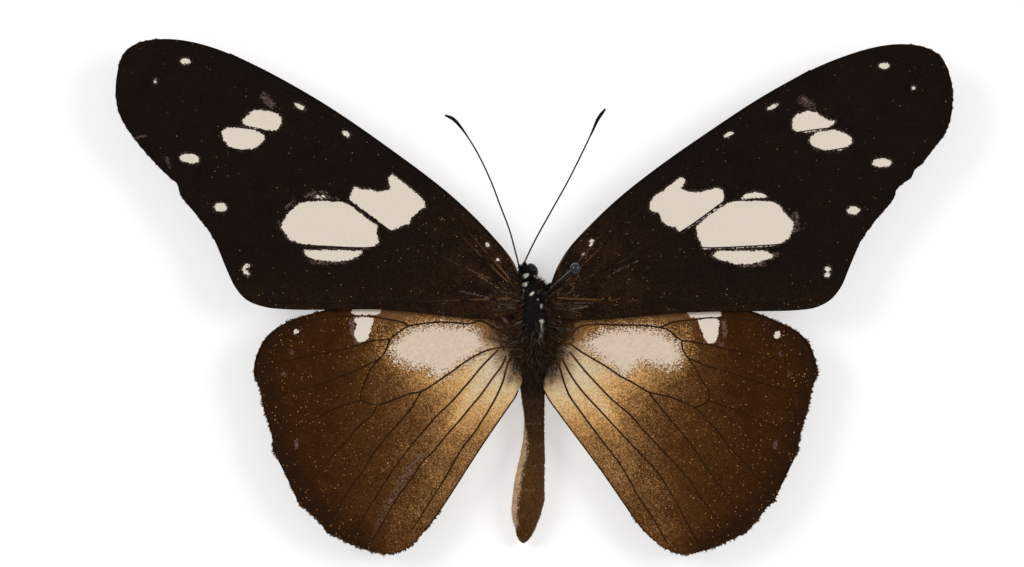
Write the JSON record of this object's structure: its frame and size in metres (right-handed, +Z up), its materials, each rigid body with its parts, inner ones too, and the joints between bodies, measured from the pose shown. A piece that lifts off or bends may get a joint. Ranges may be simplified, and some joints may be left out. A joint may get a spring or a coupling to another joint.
{
  "type": "spread butterfly specimen",
  "caption": "Dried butterfly with wings spread flat, black forewings with white windows, cream to brown hindwings, slim body, clubbed antennae and a leaning pin; lies on its belly for display",
  "frame": {"origin": "middle of the bottom of the whole box, on the surface the belly lies on", "axes": "+X across the wings to the insect's right, +Y along the body to the head, +Z up"},
  "size_m": [0.0836, 0.0516, 0.0131],
  "materials": {
    "fur": "matte, hairy",
    "abdomen_skin": "matte, scaled",
    "eye": "gloss",
    "cuticle": "satin",
    "pin_enamel": "gloss",
    "forewing_scales": "matte, scaled",
    "hindwing_scales": "matte, scaled"
  },
  "bodies": {
    "root": {"thorax": "fur", "head": "fur", "abdomen": "abdomen_skin", "left_eye": "eye", "right_eye": "eye", "left_palp": "fur", "right_palp": "fur", "proboscis": "cuticle", "left_antenna": "cuticle", "right_antenna": "cuticle", "left_foreleg": "cuticle", "left_midleg": "cuticle", "left_hindleg": "cuticle", "right_foreleg": "cuticle", "right_midleg": "cuticle", "right_hindleg": "cuticle", "pin": "pin_enamel", "left_forewing": "forewing_scales", "right_forewing": "forewing_scales", "left_hindwing": "hindwing_scales", "right_hindwing": "hindwing_scales"}
  },
  "joints": []
}
